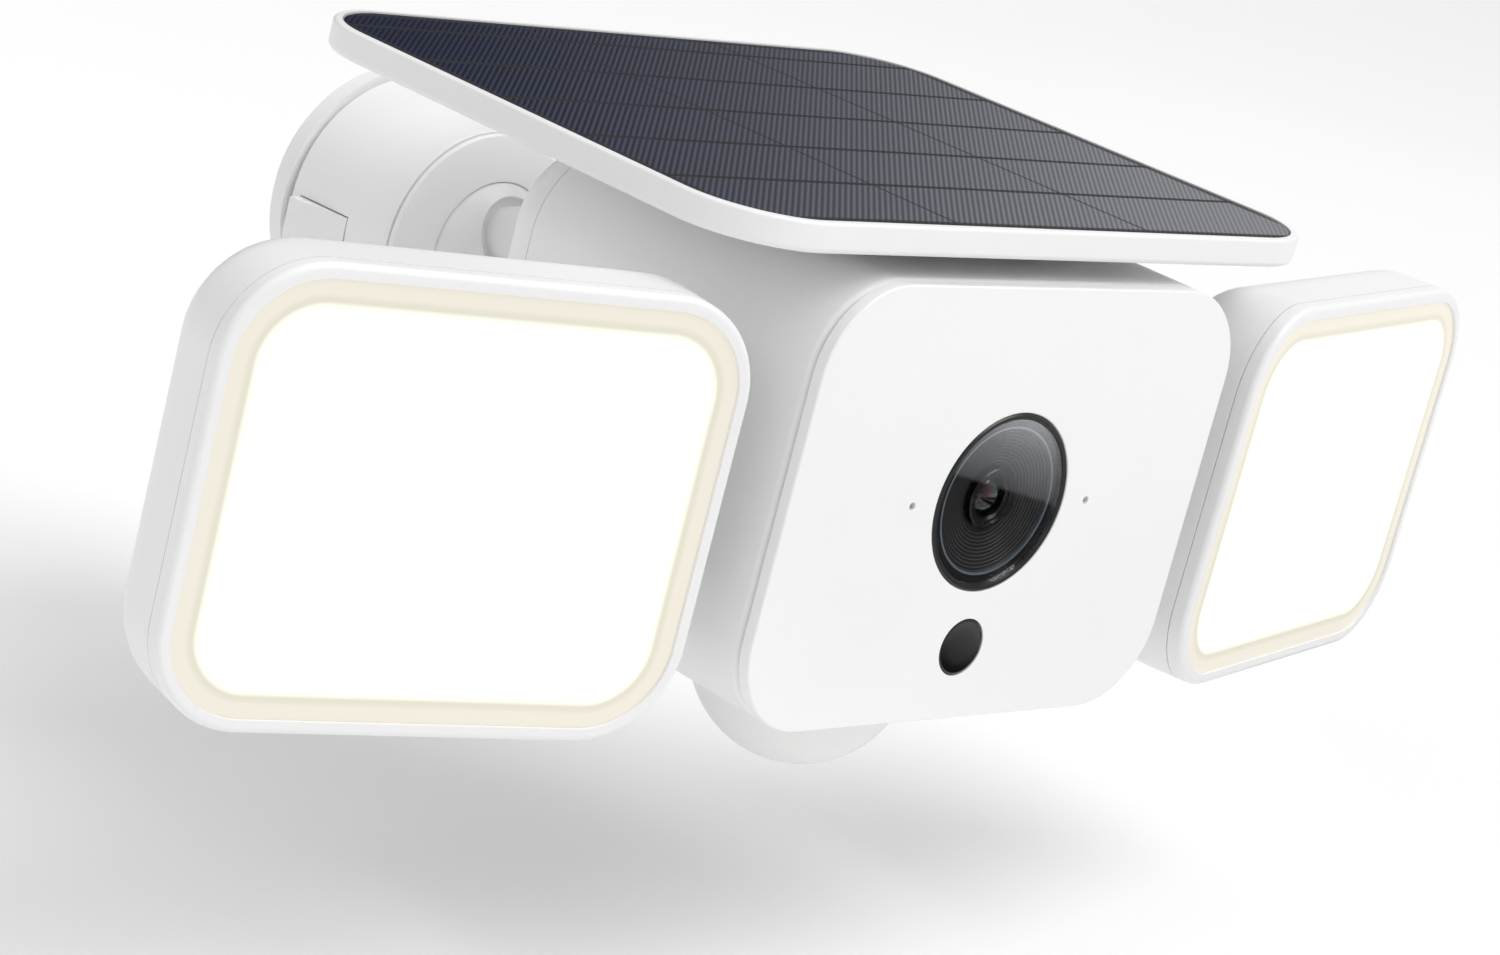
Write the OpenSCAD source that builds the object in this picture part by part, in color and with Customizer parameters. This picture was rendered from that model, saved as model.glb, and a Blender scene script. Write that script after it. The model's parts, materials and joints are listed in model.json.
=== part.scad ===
// Solar floodlight camera on a ball-jointed wall mount.
// The origin is the centre of the mount's back face. The wall is the plane y = 0,
// the camera looks along -Y, +X is to the right seen from in front of it and +Z is up.

/* [Camera body] */
// Width of the camera body
body_w = 115; // [105:1:125]
// Height of the camera body
body_h = 87; // [82:1:92]
// Corner radius of the camera body seen from the front
body_r = 18; // [12:1:22]
// Distance from the wall to the front of the faceplate
reach = 194; // [190:1:200]
// Distance from the wall to the back of the camera body
back_gap = 102; // [100:0.5:104]
// Height of the body's centre above the mount's axis
body_z = 1; // [0:0.5:2]
// Wall thickness of the moulded shells
wall = 2.5; // [2:0.1:3]
// Thickness of the faceplate
cover_t = 2.5; // [2:0.1:3]
// Gap of the seam behind the faceplate
seam = 0.5; // [0.3:0.1:0.8]

/* [Camera eye] */
// Radius of the round lens window
window_r = 18; // [16:0.5:19]
// Height of the lens window's centre above the body's centre
window_z = 0.8; // [0:0.1:2]
// Radius of the small dark sensor window
small_r = 5.9; // [5:0.1:7]
// Drop of the small window's centre below the body's centre
small_drop = 28.6; // [26:0.1:30]
// Distance of each microphone hole from the middle
mic_x = 24.7; // [22:0.1:28]
// Radius of a microphone hole
mic_r = 0.8; // [0.5:0.1:1]

/* [Motion dome] */
// Outside radius of the motion sensor's dome
dome_r = 22.4; // [20:0.1:23]
// Distance of the dome's axis from the wall
dome_y = 155.4; // [152:0.1:158]
// Height of the straight skirt above the round part of the dome
dome_skirt = 2; // [1:0.1:3]

/* [Solar panel] */
// Width of the panel's frame
panel_w = 166; // [160:1:170]
// Depth of the panel's frame
panel_d = 132.5; // [128:0.5:136]
// Corner radius of the panel's frame
panel_r = 20; // [14:1:24]
// Height of the panel's frame
panel_t = 5.8; // [5:0.1:7]
// Clear gap between the body and the panel's frame
panel_gap = 4.6; // [4:0.1:8]
// Setback of the frame's front edge behind the faceplate
panel_back_off = 1.4; // [0:0.1:4]

/* [Lights] */
// Width of a light head
light_w = 102.6; // [98:0.2:106]
// Height of a light head
light_h = 83; // [79:0.5:84]
// Depth of a light head
light_t = 24; // [23:0.5:25]
// Corner radius of a light head
light_r = 18.4; // [14:0.2:22]
// Angle that each light is turned outwards at rest
light_pan = 12.4; // [0:0.2:20]
// Distance of the light's upright pin from the middle
pin_x = 67.3; // [67:0.1:69]
// Distance of the light's upright pin from the wall
pin_y = 161; // [160:0.5:163]
// Height of the lights' centres
light_z = -2.3; // [-4:0.1:0]
// Distance from the pin to the light's middle, along the light
pin_in = 48.6; // [48:0.1:49]
// Distance from the pin forward to the light's face
pin_fore = 30.5; // [30:0.1:31]

/* [Wall mount] */
// Radius of the wall plate
plate_r = 29.4; // [28:0.1:31]
// Thickness of the wall plate
plate_t = 4; // [3:0.5:5]
// Thickness of the gasket behind the wall plate
gasket_t = 1.2; // [1:0.1:2]
// Radius of the circle of wall screw holes
hole_circle_r = 20; // [19.5:0.1:20.5]
// Radius of each wall screw hole
hole_r = 2.25; // [2:0.05:2.5]
// Distance of the front edge of the mount's shell from the wall
shell_front = 36.2; // [36:0.1:37]
// Radius of the ball
ball_r = 17; // [16.5:0.1:17]
// Distance of the ball's centre from the wall
ball_y = 32.8; // [32.5:0.1:33]
// Angle that the stem rises from the ball
stem_rise = 20; // [16:1:22]
// Radius of the stem
stem_r = 6.5; // [6:0.1:7]
// Radial clearance of a running fit
run = 0.05; // [0.03:0.01:0.08]

/* [Hidden] */
$fn = 64;

white = [0.93, 0.93, 0.92];
grey = [0.6, 0.61, 0.62];
black = [0.05, 0.05, 0.06];
metal = [0.75, 0.76, 0.78];

front_y = -reach;
cover_back_y = front_y + cover_t;          // back of the faceplate
rim_y = cover_back_y + seam;               // front rim of the housing
rear_taper = 11;                           // depth of the rear cover
split_y = -back_gap - rear_taper;          // seam between housing and rear cover
top_z = body_z + body_h / 2;
floor_z = body_z - body_h / 2;
eye_z = body_z + window_z;
small_z = body_z - small_drop;
panel_z = top_z + panel_gap;               // underside of the panel's frame
panel_y = front_y + panel_back_off + panel_d / 2;
ledge_z = panel_z + 1.4;                   // shelf that carries the panel's back plate
glass_z = panel_z + panel_t - 0.2;         // face of the laminate
lip = 1.7;                                 // white rim around the laminate
mount_front = shell_front + 0.3;           // back of the lock collar's nose
nose = ball_y + 8;                         // front of the lock collar
post_x = 44;                               // rear screw posts
post_z = 30;
light_wall = 2.4;
light_straight = 14;                       // depth of a light head before it tapers
light_taper_in = 8;                        // inset of its back face
ear_r = 6.6;
barrel_h = 23.6;
ear_h = 8;
shaft_r = 6;
cell_r = 9.2;
cell_l = 65;
cell_ys = [-123, -142.5];
cell_zs = [-22, -2];
speaker_at = [-34, -150];
speaker_r = 8.8;
boss_l = 66.5;                             // start of the rear boss, measured along the stem
boss_h = 13.5;
button_at = [38, -150];
port_at = [28, -20];

// ---- shared shapes ----

module outline(w, h, r) {
    square([w - 2 * r, h], center = true);
    square([w, h - 2 * r], center = true);
    for (sx = [-1, 1], sy = [-1, 1])
        translate([sx * (w / 2 - r), sy * (h / 2 - r)]) circle(r = r);
}

module slab(w, h, r, y, depth) {           // rounded plate facing -Y, front at y
    translate([0, y + depth, 0]) rotate([90, 0, 0])
        linear_extrude(depth) outline(w, h, r);
}

module disc(r, y, depth) {                 // round plate facing -Y, front at y
    translate([0, y + depth, 0]) rotate([90, 0, 0]) cylinder(r = r, h = depth);
}

module ring(r_out, r_in, y, depth) {
    difference() {
        disc(r_out, y, depth);
        disc(r_in, y - 1, depth + 2);
    }
}

module turned(points) {                    // points are [radius, distance from the wall]
    rotate([90, 0, 0]) rotate_extrude() polygon(points);
}

module tapered(w, h, r, inset, y, depth) { // full size at y, smaller by inset at the back
    hull() {
        slab(w, h, r, y, 0.2, $fn = 32);
        slab(w - 2 * inset, h - 2 * inset, r - inset * 0.6, y + depth - 0.2, 0.2, $fn = 32);
    }
}

module across(r, x, length) {              // round bar along +X
    translate([x, 0, 0]) rotate([0, 90, 0]) cylinder(r = r, h = length);
}

module in_body() { translate([0, 0, body_z]) children(); }

module on_stem() {                         // +Z runs out of the ball along the stem
    translate([0, -ball_y, 0]) rotate([90 - stem_rise, 0, 0]) children();
}

module mirrored(side) {
    if (side < 0) mirror([1, 0, 0]) children();
    else children();
}

module in_light(side) {                    // the light's face is y = 0, its middle x = 0
    mirrored(side)
        translate([pin_x, -pin_y, light_z]) rotate([0, 0, light_pan])
            translate([pin_in, -pin_fore, 0]) children();
}

module at_pin(side) {                      // the upright pin is the Z axis
    mirrored(side) translate([pin_x, -pin_y, light_z]) children();
}

// ---- wall mount ----

module wall_holes() {
    for (a = [90, 210, 330])
        translate([hole_circle_r * cos(a), 0, hole_circle_r * sin(a)])
            disc(hole_r, -10, 12);
}

module cup_screw_places() {
    for (a = [30, 150, 270])
        translate([9 * cos(a), 0, 9 * sin(a)]) children();
}

module wall_gasket() {
    color(black) difference() {
        disc(plate_r - 1, -gasket_t, gasket_t);
        wall_holes();
    }
}

module base_plate() {
    back = -gasket_t - plate_t;
    color(white) difference() {
        disc(plate_r, back, plate_t);
        wall_holes();
        cup_screw_places() disc(1.6, back - 1, plate_t + 2);
        cup_screw_places() disc(3, -gasket_t - 2, 3);
    }
}

module latch_window() {
    translate([-32, -24.3, -8.3]) cube([12, 16.6, 9.6]);
}

module mount_shell() {
    back = gasket_t + plate_t;
    color(white) difference() {
        turned([[25, back], [26.6, back], [26.6, back + 1], [28.2, back + 1],
                [25.4, shell_front], [22.6, shell_front], [22.6, 26], [25, 24]]);
        latch_window();
    }
}

module socket_cup() {
    back = gasket_t + plate_t;
    color(grey) difference() {
        turned([[0, back], [14, back], [14, 14], [20.2, 20], [20.2, ball_y - 0.3], [0, ball_y - 0.3]]);
        translate([0, -ball_y, 0]) sphere(r = ball_r + 1.56);
        cup_screw_places() disc(1.5, -12.2, 12);
    }
}

module mount_screws() {
    color(metal) cup_screw_places() {
        disc(2.8, -gasket_t - 1.95, 1.9);
        disc(1.45, -11.8, 10);
    }
}

module lock_collar() {
    color(white) difference() {
        turned([[20.5, 27], [22.6 - run, 27], [22.6 - run, mount_front], [25.2, mount_front],
                [15.3, nose], [14, nose], [14, 33.2], [20.5, 33.2]]);
        translate([0, -ball_y, 0]) sphere(r = ball_r + 0.3);
    }
}

module release_latch() {
    color(white) translate([0, 0, -8]) linear_extrude(9)
        polygon([[-31, -9.2], [-30.4, -13], [-26.6, -23.8], [-23, -23.8], [-23, -9.2]]);
}

module ball_liner() {
    color(black) translate([0, -ball_y, 0]) rotate([-90, 0, 0]) intersection() {
        difference() {
            sphere(r = ball_r + 1.5);
            sphere(r = ball_r + run);
        }
        translate([0, 0, (ball_r + 1.5) * cos(60)]) cylinder(r = 30, h = 30);
    }
}

module ball_stem() {
    color(metal) on_stem() {
        difference() {
            sphere(r = ball_r);
            difference() {
                translate([0, 0, 13]) cylinder(r = 8.6, h = 10);
                translate([0, 0, 12]) cylinder(r = stem_r, h = 12);
            }
        }
        translate([0, 0, 10]) cylinder(r = stem_r, h = boss_l - 10.2);
        translate([0, 0, 60]) cylinder(r = 5, h = 24);
    }
}

module lock_nut() {
    color(grey) on_stem() translate([0, 0, 59.5]) difference() {
        cylinder(r = 11, h = 6.5);
        translate([0, 0, -1]) cylinder(r = stem_r + run, h = 9);
        for (a = [0:30:330])
            rotate([0, 0, a]) translate([11.6, 0, -1]) cylinder(r = 1.4, h = 9);
    }
}

module stem_retainer() {
    color(metal) on_stem() translate([0, 0, boss_l + boss_h + 0.3]) difference() {
        cylinder(r = 6.2, h = 3.2);
        translate([0, 0, -1]) cylinder(r = 5.02, h = 6);
    }
}

// ---- camera body ----

module post_places() {
    for (sx = [-1, 1], sz = [-1, 1])
        translate([sx * post_x, 0, body_z + sz * post_z]) children();
}

module housing_shell() {
    depth = split_y - rim_y;
    inner_w = body_w - 2 * wall;
    color(white) difference() {
        union() {
            difference() {
                in_body() slab(body_w, body_h, body_r, rim_y, depth);
                in_body() slab(inner_w, body_h - 2 * wall, body_r - wall, rim_y - 1, depth + 2);
            }
            for (side = [-1, 1]) mirrored(side)
                translate([0, -pin_y, light_z]) across(9.5, body_w / 2 - 5.5, 4.5);
            intersection() {
                post_places() disc(8, split_y - 14, 14);
                in_body() slab(body_w - 1, body_h - 1, body_r - 0.5, rim_y, depth);
            }
        }
        for (side = [-1, 1]) mirrored(side)
            translate([0, -pin_y, light_z]) across(shaft_r + run, body_w / 2 - 8, 12);
        translate([0, -dome_y, floor_z - 1]) cylinder(r = 20.5, h = wall + 2);
        for (i = [-2:2])
            translate([speaker_at[0] - 6, speaker_at[1] + i * 3.4 - 0.75, floor_z - 1])
                cube([12, 1.5, wall + 2]);
        translate([button_at[0], button_at[1], floor_z - 1]) cylinder(r = 3 + run, h = wall + 2);
        post_places() disc(1.5, split_y - 12, 14);
        bracket_screw_places() translate([0, 0, top_z - 4]) cylinder(r = 1.6, h = 6);
    }
}

module rear_cover() {
    color(white) difference() {
        union() {
            difference() {
                in_body() tapered(body_w, body_h, body_r, 7, split_y, rear_taper);
                in_body() slab(body_w - 19, body_h - 19, 10, split_y - 1, rear_taper - wall + 1);
            }
            on_stem() translate([0, 0, boss_l]) cylinder(r = 12, h = boss_h);
        }
        on_stem() translate([0, 0, 60]) cylinder(r = 5 + run, h = 30);
        post_places() disc(1.6, split_y - 1, 20);
        post_places() disc(3.2, split_y + 6, 12);
        translate([port_at[0], -back_gap, port_at[1]]) {
            translate([-6, -12, -3]) cube([12, 14, 6]);
            translate([-9.2, -2.2, -6.2]) cube([18.4, 4, 12.9]);
        }
    }
}

module rear_screws() {
    color(metal) post_places() {
        disc(2.9, split_y + 6, 2);
        disc(1.45, split_y - 10, 16.5);
    }
}

module cover_seal() {
    color(black) in_body() difference() {
        slab(body_w - 2.4, body_h - 2.4, body_r - 1.2, cover_back_y, seam);
        slab(body_w - 5.2, body_h - 5.2, body_r - 2.6, cover_back_y - 1, seam + 2);
    }
}

module front_cover() {
    color(white) difference() {
        in_body() union() {
            slab(body_w, body_h, body_r, front_y, cover_t);
            difference() {
                slab(body_w - 5.6, body_h - 5.6, body_r - 2.8, cover_back_y - 0.5, 6.5);
                slab(body_w - 9, body_h - 9, body_r - 4.5, cover_back_y, 8);
            }
        }
        translate([0, 0, eye_z]) disc(window_r, front_y - 1, 8);
        translate([0, 0, small_z]) disc(small_r, front_y - 1, 8);
        for (side = [-1, 1])
            translate([side * mic_x, 0, eye_z]) disc(mic_r, front_y - 1, 8);
    }
}

module lens_window() {
    color([0.3, 0.32, 0.35, 0.4]) translate([0, 0, eye_z])
        disc(window_r - 0.1, front_y + 0.1, 1.6);
}

module lens_bezel() {
    color(black) translate([0, 0, eye_z])
        ring(window_r - 0.1, window_r * 0.87, front_y + 1.7, 2.6);
}

module lens_baffle() {
    steps = 8;
    color(black) translate([0, 0, eye_z]) difference() {
        disc(window_r * 0.87 - 0.1, front_y + 2.2, 10);
        for (i = [0:steps - 1])
            disc(window_r * 0.87 - 0.9 - i * 1.05, front_y + 1, 1.4 + (i + 1) * 1.1);
        disc(6, front_y + 1, 14);
    }
}

module lens_barrel() {
    color(black) translate([0, 0, eye_z]) difference() {
        disc(5.7, front_y + 5.5, 14);
        disc(4.2, front_y + 4, 14);
    }
}

module front_lens() {
    color([0.25, 0.4, 0.42, 0.6]) translate([0, 0, eye_z]) intersection() {
        disc(4.1, front_y + 5, 6);
        translate([0, front_y + 12, 0]) sphere(r = 6.4);
    }
}

module sensor_board() {
    color([0.1, 0.35, 0.2]) translate([0, 0, eye_z]) {
        translate([-12, front_y + 20, -12]) cube([24, 1.6, 24]);
        translate([-4, front_y + 19.6, -4]) cube([8, 0.6, 8]);
    }
}

module sensor_window() {
    color(black) translate([0, 0, small_z]) disc(small_r - 0.05, front_y + 0.1, 1.8);
}

module light_sensor() {
    color([0.1, 0.35, 0.2]) translate([0, 0, small_z]) {
        translate([-7, front_y + 4.4, -5]) cube([14, 1.2, 10]);
        disc(2, front_y + 2.4, 2.2);
    }
}

module microphones() {
    color(metal) for (side = [-1, 1])
        translate([side * mic_x, 0, eye_z]) disc(3, cover_back_y, 2);
}

module main_board() {
    color([0.1, 0.35, 0.2]) in_body() {
        translate([-46, front_y + 24, -30]) cube([92, 1.6, 64]);
        translate([-12, front_y + 25.6, 2]) cube([16, 2, 16]);
        translate([12, front_y + 25.6, -18]) cube([20, 2.4, 12]);
    }
}

module battery_cells() {
    color([0.2, 0.45, 0.75]) for (y = cell_ys, z = cell_zs)
        translate([0, y, z]) across(cell_r, -cell_l / 2, cell_l);
}

module battery_tray() {
    low = min(cell_zs) - cell_r - 2.2;
    deep = max(cell_ys) - min(cell_ys) + 2 * cell_r;
    color(black) translate([-cell_l / 2 - 2.2, min(cell_ys) - cell_r, low]) {
        cube([cell_l + 4.4, deep, 2]);
        for (x = [0, cell_l + 2.4])
            translate([x, 0, 0]) cube([2, deep, 30]);
    }
}

module motion_dome() {
    inner = dome_r - 1.4;
    color(white) translate([0, -dome_y, floor_z]) difference() {
        union() {
            translate([0, 0, -dome_skirt]) cylinder(r = dome_r, h = dome_skirt);
            cylinder(r = 20.4, h = 4);
            translate([0, 0, -dome_skirt]) sphere(r = dome_r);
        }
        translate([0, 0, -dome_skirt]) sphere(r = inner);
        translate([0, 0, -dome_skirt]) cylinder(r = 19.2, h = 10);
        difference() {
            cylinder(r = 30, h = 40);
            translate([0, 0, -1]) cylinder(r = 20.4, h = 42);
        }
        translate([0, 0, 4]) cylinder(r = 30, h = 40);
    }
}

module dome_ring() {
    color(grey) translate([0, -dome_y, floor_z + wall]) difference() {
        cylinder(r = 23.4, h = 1.4);
        translate([0, 0, -1]) cylinder(r = 20.4, h = 4);
    }
}

module motion_sensor() {
    color(metal) translate([0, -dome_y, floor_z + 4.2]) {
        translate([-14, -9, 0]) cube([28, 18, 1.2]);
        translate([0, 0, -4.4]) cylinder(r = 4.6, h = 4.5);
    }
}

module speaker() {
    color(black) translate([speaker_at[0], speaker_at[1], floor_z + wall + 0.4])
        cylinder(r = speaker_r, h = 5);
}

module wifi_antennas() {
    color([0.75, 0.6, 0.3]) for (side = [-1, 1]) mirrored(side)
        translate([body_w / 2 - wall - 0.7, -148, 12]) cube([0.6, 30, 14]);
}

module charge_port() {
    color(metal) translate([port_at[0], -back_gap, port_at[1]]) difference() {
        translate([-4.6, -10.5, -1.7]) cube([9.2, 7.5, 3.4]);
        translate([-4, -8, -1.2]) cube([8, 8, 2.4]);
    }
}

module port_flap() {
    color(grey) translate([port_at[0], -back_gap, port_at[1]]) {
        translate([-8.9, -1.9, -5.9]) cube([17.8, 1.9, 9.6]);
        translate([0, -1, 5]) across(1, -8.9, 17.8);
        translate([-8.9, -1.9, 3]) cube([17.8, 1.8, 2]);
        translate([-3, 0, -5.9]) cube([6, 0.8, 1.6]);
    }
}

module reset_button() {
    color(grey) translate([button_at[0], button_at[1], floor_z]) {
        translate([0, 0, -0.6]) cylinder(r = 3, h = 4);
        translate([0, 0, 2.9]) cylinder(r = 4.4, h = 1);
    }
}

// ---- solar panel ----

module bracket_screw_places() {
    for (sx = [-1, 1], y = [-158, -122])
        translate([sx * 24, y, 0]) children();
}

module flat(w, d, r, z, t) {               // rounded plate facing up, centred under the panel
    translate([0, panel_y, z]) linear_extrude(t) outline(w, d, r);
}

module panel_bracket() {
    color(white) difference() {
        translate([0, -140, top_z]) linear_extrude(ledge_z - top_z) outline(62, 50, 6);
        translate([0, -140, top_z - 1]) linear_extrude(ledge_z - top_z + 2) outline(36, 24, 4);
        bracket_screw_places() translate([0, 0, top_z - 1]) cylinder(r = 1.5, h = 5.5);
    }
}

module panel_frame() {
    color(white) difference() {
        flat(panel_w, panel_d, panel_r, panel_z, panel_t);
        flat(panel_w - 2 * lip, panel_d - 2 * lip, panel_r - lip, ledge_z, panel_t);
        flat(panel_w - 14, panel_d - 14, panel_r - 7, panel_z - 1, panel_t);
    }
}

module panel_back() {
    color(grey)
        flat(panel_w - 2 * lip - 0.2, panel_d - 2 * lip - 0.2, panel_r - lip - 0.1, ledge_z, 2);
}

module solar_laminate() {
    color([0.1, 0.12, 0.2])
        flat(panel_w - 2 * lip - 0.2, panel_d - 2 * lip - 0.2, panel_r - lip - 0.1,
             ledge_z + 2, glass_z - ledge_z - 2);
}

module panel_screws() {
    color(metal) bracket_screw_places() {
        translate([0, 0, top_z - wall - 1.6]) cylinder(r = 2.8, h = 1.6);
        translate([0, 0, top_z - wall - 0.5]) cylinder(r = 1.45, h = wall + 4.5);
    }
}

// ---- lights, drawn once and mirrored ----

module arm(side) {
    color(white) at_pin(side) difference() {
        union() {
            translate([0, 0, -barrel_h / 2]) cylinder(r = ear_r, h = barrel_h);
            across(8, body_w / 2 + 0.3 - pin_x, 6);
            across(shaft_r, body_w / 2 - 7.5 - pin_x, 14);
        }
        translate([0, 0, -barrel_h]) cylinder(r = 2.5 + run, h = 2 * barrel_h);
        across(2.4, -20, 15);
    }
}

module arm_clip(side) {
    color(metal) at_pin(side) difference() {
        across(8.5, body_w / 2 - 7.3 - pin_x, 1.4);
        across(shaft_r + 0.02, body_w / 2 - 9 - pin_x, 5);
    }
}

module hinge_pin(side) {
    length = barrel_h + 2 * ear_h + 0.6;
    color(metal) at_pin(side) translate([0, 0, -length / 2]) cylinder(r = 2.5, h = length);
}

module light_shell(side) {
    color(white) in_light(side) difference() {
        union() {
            slab(light_w, light_h, light_r, 0, light_straight + 0.1);
            tapered(light_w, light_h, light_r, light_taper_in, light_straight, light_t - light_straight);
            for (s = [-1, 1]) translate([-pin_in, pin_fore, s * (barrel_h / 2 + 0.3 + ear_h / 2)]) {
                cylinder(r = ear_r, h = ear_h, center = true);
                translate([0, -9.5, -ear_h / 2]) cube([16, 13, ear_h]);
            }
        }
        slab(light_w - 2 * light_wall, light_h - 2 * light_wall, light_r - light_wall,
             -1, light_straight + 1);
        slab(light_w - 20, light_h - 20, 12, 0, light_t - wall);
        translate([-pin_in, pin_fore, -30]) cylinder(r = 2.5, h = 60);
        slab(light_w - 3 * light_wall, light_h - 3 * light_wall, light_r - 1.5 * light_wall, 13, 2);
    }
}

module heat_sink(side) {
    color(metal) in_light(side) {
        slab(76, 58, 8, 12.4, 2);
        for (i = [-5:5])
            translate([i * 6.6 - 0.6, 14.4, -28]) cube([1.2, 5.6, 56]);
    }
}

module led_board(side) {
    color([0.9, 0.9, 0.88]) in_light(side) {
        slab(92, 72, 12, 10.6, 1.6);
        for (i = [-4:4], j = [-3:3])
            translate([i * 9.6 - 1.4, 9.8, j * 9.6 - 1.4]) cube([2.8, 0.8, 2.8]);
    }
}

module reflector(side) {
    color(white) in_light(side) difference() {
        slab(light_w - 5.2, light_h - 5.2, light_r - 2.6, 3, 6.4);
        slab(light_w - 10, light_h - 10, light_r - 5, 2, 9);
    }
}

module diffuser(side) {
    color([1, 0.98, 0.9]) in_light(side)
        slab(light_w - 5.2, light_h - 5.2, light_r - 2.6, 0.4, 2.4);
}

wall_gasket();
base_plate();
mount_shell();
socket_cup();
mount_screws();
lock_collar();
release_latch();
ball_liner();
ball_stem();
stem_retainer();
lock_nut();
housing_shell();
rear_cover();
rear_screws();
cover_seal();
front_cover();
lens_window();
lens_bezel();
lens_baffle();
lens_barrel();
front_lens();
sensor_board();
sensor_window();
light_sensor();
microphones();
main_board();
battery_cells();
battery_tray();
motion_dome();
dome_ring();
motion_sensor();
speaker();
wifi_antennas();
charge_port();
port_flap();
reset_button();
panel_bracket();
panel_frame();
panel_back();
solar_laminate();
panel_screws();
arm(-1);  // left_arm
arm_clip(-1);  // left_arm_clip
hinge_pin(-1);  // left_hinge_pin
light_shell(-1);  // left_light_shell
heat_sink(-1);  // left_heat_sink
led_board(-1);  // left_led_board
reflector(-1);  // left_reflector
diffuser(-1);  // left_diffuser
arm(1);  // right_arm
arm_clip(1);  // right_arm_clip
hinge_pin(1);  // right_hinge_pin
light_shell(1);  // right_light_shell
heat_sink(1);  // right_heat_sink
led_board(1);  // right_led_board
reflector(1);  // right_reflector
diffuser(1);  // right_diffuser
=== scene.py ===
import json
import math

import bmesh
import bpy
from mathutils import Matrix, Quaternion, Vector


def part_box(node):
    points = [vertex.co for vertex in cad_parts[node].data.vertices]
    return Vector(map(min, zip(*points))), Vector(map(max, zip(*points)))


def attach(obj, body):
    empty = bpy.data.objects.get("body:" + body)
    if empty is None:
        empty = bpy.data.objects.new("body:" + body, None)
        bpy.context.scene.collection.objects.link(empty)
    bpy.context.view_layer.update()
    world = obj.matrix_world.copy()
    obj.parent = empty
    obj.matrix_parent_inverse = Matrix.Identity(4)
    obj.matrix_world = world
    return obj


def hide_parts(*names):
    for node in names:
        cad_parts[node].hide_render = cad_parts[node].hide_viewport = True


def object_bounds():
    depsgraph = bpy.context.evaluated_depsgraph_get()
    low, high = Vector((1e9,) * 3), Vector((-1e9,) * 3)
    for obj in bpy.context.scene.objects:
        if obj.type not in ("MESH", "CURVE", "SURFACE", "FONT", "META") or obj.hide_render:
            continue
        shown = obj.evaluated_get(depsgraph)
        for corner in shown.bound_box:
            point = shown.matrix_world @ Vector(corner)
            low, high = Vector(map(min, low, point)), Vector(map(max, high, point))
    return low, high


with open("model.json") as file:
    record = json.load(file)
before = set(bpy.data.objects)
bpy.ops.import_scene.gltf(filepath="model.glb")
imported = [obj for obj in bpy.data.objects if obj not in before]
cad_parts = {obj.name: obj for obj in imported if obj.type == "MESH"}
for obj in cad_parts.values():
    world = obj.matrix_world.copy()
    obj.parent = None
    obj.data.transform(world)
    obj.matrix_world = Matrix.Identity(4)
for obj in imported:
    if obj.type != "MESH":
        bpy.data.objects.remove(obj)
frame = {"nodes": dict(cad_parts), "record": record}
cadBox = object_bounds()
nodes = frame["nodes"]
mm = 0.001


def deselectAll():
    for thing in bpy.context.selected_objects:
        thing.select_set(False)
    bpy.context.view_layer.objects.active = None


def pick(piece):
    # the only thing selected, and the active one
    deselectAll()
    piece.select_set(True)
    bpy.context.view_layer.objects.active = piece


def startMesh(name):
    # the primitive just added, renamed
    piece = bpy.context.object
    piece.name = name
    piece.data.name = name
    return piece


def editMesh(piece, edges=None, faces=None, verts=None):
    # goes into edit mode with only what the tests accept selected
    pick(piece)
    bpy.ops.object.mode_set(mode="EDIT")
    bpy.ops.mesh.select_mode(type="EDGE" if edges else "FACE" if faces else "VERT")
    bpy.ops.mesh.select_all(action="DESELECT")
    mesh = bmesh.from_edit_mesh(piece.data)
    found = mesh.edges if edges else mesh.faces if faces else mesh.verts
    test = edges or faces or verts
    if test:
        for part in found:
            part.select = bool(test(part))
    mesh.select_flush_mode()
    bmesh.update_edit_mesh(piece.data)


def leaveEdit(piece):
    bpy.ops.object.mode_set(mode="OBJECT")
    deselectAll()
    return piece


def useModifier(piece, kind, **settings):
    pick(piece)
    modifier = piece.modifiers.new(kind.lower(), kind)
    for key, value in settings.items():
        setattr(modifier, key, value)
    bpy.ops.object.modifier_apply(modifier=modifier.name)
    deselectAll()


def applyPlace(piece):
    pick(piece)
    bpy.ops.object.transform_apply(location=True, rotation=True, scale=True)
    deselectAll()


def smooth(piece, angle=40):
    # soft fillets beside faces that stay truly flat
    pick(piece)
    bpy.ops.object.shade_smooth_by_angle(angle=math.radians(angle))
    useModifier(piece, "WEIGHTED_NORMAL", keep_sharp=True, weight=100)


def roundedBlock(name, size, centre, corner, axis="Y", front=0.0, back=0.0, steps=12, rimSteps=5):
    # a box whose edges along axis are rounded to corner, with its two rims softened
    bpy.ops.mesh.primitive_cube_add(size=1, location=(0, 0, 0))
    piece = startMesh(name)
    piece.scale = size
    piece.location = centre
    applyPlace(piece)
    k = "XYZ".index(axis)  # which coordinate runs along the axis
    low = centre[k] - size[k] / 2
    high = centre[k] + size[k] / 2
    tiny = size[k] * 0.01
    editMesh(piece, edges=lambda e: abs(e.verts[0].co[k] - e.verts[1].co[k]) > tiny)
    bpy.ops.mesh.bevel(offset=corner, segments=steps, affect="EDGES", clamp_overlap=False)
    leaveEdit(piece)
    for level, soft in ((low, front), (high, back)):
        if soft:
            editMesh(piece, edges=lambda e: all(abs(v.co[k] - level) < tiny for v in e.verts))
            bpy.ops.mesh.bevel(offset=soft, segments=rimSteps, affect="EDGES", clamp_overlap=False)
            leaveEdit(piece)
    return piece


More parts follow.
